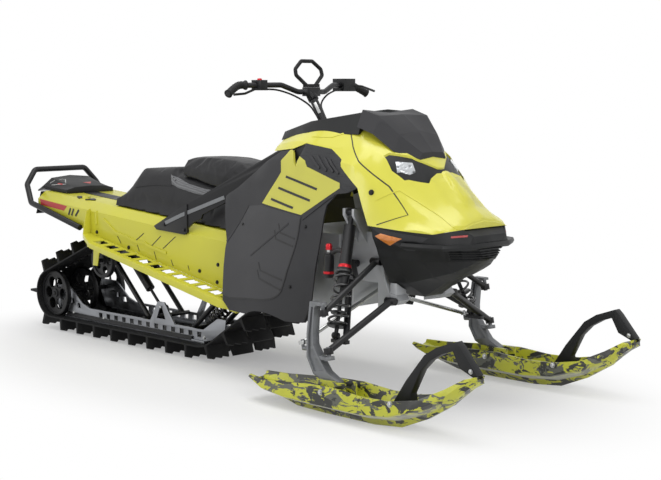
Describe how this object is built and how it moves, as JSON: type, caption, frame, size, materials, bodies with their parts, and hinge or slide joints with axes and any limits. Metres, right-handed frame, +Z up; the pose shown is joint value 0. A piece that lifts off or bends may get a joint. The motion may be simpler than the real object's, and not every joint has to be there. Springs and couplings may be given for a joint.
{
  "type": "snowmobile",
  "caption": "Long-track mountain snowmobile with steered skis on double arms, a lugged rubber track and a high handlebar.",
  "frame": {"origin": "on the ground at the middle of the machine's length and width", "axes": "+X forward, +Y to the machine's left, +Z up"},
  "size_m": [3.152, 1.139, 1.3189],
  "materials": {
    "track_rubber": "matt moulded rubber",
    "rail_alloy": "satin extruded",
    "black_nylon": "matt",
    "yellow_sheet": "gloss powder coat",
    "black_tube": "satin powder coat",
    "dark_plastic": "fine grain",
    "flap_rubber": "matt",
    "seat_vinyl": "grained vinyl",
    "cast_alloy": "cast and blasted",
    "yellow_plastic": "gloss",
    "vent_mesh": "perforated",
    "black_forging": "satin",
    "grey_forging": "satin",
    "grip_rubber": "matt",
    "bright_steel": "zinc plated",
    "ski_plastic": "printed polyethylene",
    "lamp_lens": "clear",
    "amber_lens": "reflector",
    "red_lens": "reflector"
  },
  "bodies": {
    "chassis": {"bulkhead": "cast_alloy", "bumper_lip": "dark_plastic", "carrier_wheels": "black_nylon", "console_cover": "dark_plastic", "deflector": "dark_plastic", "drive_axle": "black_nylon", "engine_block": "cast_alloy", "front_shock_left": "black_forging", "front_shock_right": "black_forging", "headlight_housing": "dark_plastic", "headlights": "lamp_lens", "hood": "yellow_plastic", "idler_wheels": "black_nylon", "lower_arm_left": "black_tube", "lower_arm_right": "black_tube", "nose_cowl": "dark_plastic", "nose_grille": "dark_plastic", "rear_bumper": "black_tube", "running_board_left": "yellow_sheet", "running_board_right": "yellow_sheet", "seat_base": "seat_vinyl", "seat_cushion": "seat_vinyl", "side_panel_left": "dark_plastic", "side_panel_right": "dark_plastic", "side_reflectors": "amber_lens", "side_vents": "vent_mesh", "skid_arm_front": "black_tube", "skid_arm_rear": "black_tube", "skid_shocks": "black_forging", "slide_rail_left": "rail_alloy", "slide_rail_right": "rail_alloy", "snow_flap": "flap_rubber", "steering_head": "black_forging", "tail_cover": "dark_plastic", "tail_lamp": "red_lens", "track": "track_rubber", "tunnel": "yellow_sheet", "tunnel_brace_left": "black_forging", "tunnel_brace_right": "black_forging", "upper_arm_left": "black_tube", "upper_arm_right": "black_tube"},
    "steering": {"handlebar": "black_tube", "grab_loop": "grip_rubber", "steering_post": "black_tube", "hand_controls": "dark_plastic"},
    "steering_crank": {"steering_crank": "grey_forging"},
    "spindle_right": {"spindle_right": "grey_forging"},
    "spindle_left": {"spindle_left": "grey_forging"},
    "tie_rod_right": {"tie_rod_right": "bright_steel"},
    "tie_rod_left": {"tie_rod_left": "bright_steel"},
    "ski_right": {"ski_right": "ski_plastic", "ski_loop_right": "dark_plastic"},
    "ski_left": {"ski_left": "ski_plastic", "ski_loop_left": "dark_plastic"}
  },
  "joints": [
    {"name": "ski_steer_right", "type": "hinge", "parent": "chassis", "child": "spindle_right", "pos_m": [0.862, -0.4785, 0.232], "axis": [-0.1822, 0, 0.9833], "range_deg": [-30, 30]},
    {"name": "ski_steer_left", "type": "hinge", "parent": "chassis", "child": "spindle_left", "pos_m": [0.862, 0.4785, 0.232], "axis": [-0.1822, 0, 0.9833], "range_deg": [-30, 30]},
    {"name": "handlebar_turn", "type": "hinge", "parent": "chassis", "child": "steering", "pos_m": [0.277, 0, 1.183], "axis": [-0.5592, 0, 0.829], "range_deg": [-40, 40]},
    {"name": "crank_turn", "type": "hinge", "parent": "chassis", "child": "steering_crank", "pos_m": [0.85179, 0, 0.42406], "axis": [-0.1822, 0, 0.9833], "range_deg": [-30, 30]},
    {"name": "tie_rod_swing_right", "type": "hinge", "parent": "spindle_right", "child": "tie_rod_right", "pos_m": [0.72492, -0.4785, 0.24728], "axis": [-0.1822, 0, 0.9833], "range_deg": [-30, 30]},
    {"name": "tie_rod_swing_left", "type": "hinge", "parent": "spindle_left", "child": "tie_rod_left", "pos_m": [0.72492, 0.4785, 0.24728], "axis": [-0.1822, 0, 0.9833], "range_deg": [-30, 30]},
    {"name": "ski_rock_right", "type": "hinge", "parent": "spindle_right", "child": "ski_right", "pos_m": [0.905, -0.4785, 0.098], "axis": [0, 1, 0], "range_deg": [-18, 12]},
    {"name": "ski_rock_left", "type": "hinge", "parent": "spindle_left", "child": "ski_left", "pos_m": [0.905, 0.4785, 0.098], "axis": [0, 1, 0], "range_deg": [-18, 12]}
  ],
  "couplings": [
    {"joint": "ski_steer_left", "follows": "ski_steer_right", "ratio": 1},
    {"joint": "handlebar_turn", "follows": "ski_steer_right", "ratio": 1.3333},
    {"joint": "crank_turn", "follows": "ski_steer_right", "ratio": 1},
    {"joint": "tie_rod_swing_right", "follows": "ski_steer_right", "ratio": -1},
    {"joint": "tie_rod_swing_left", "follows": "ski_steer_right", "ratio": -1}
  ]
}
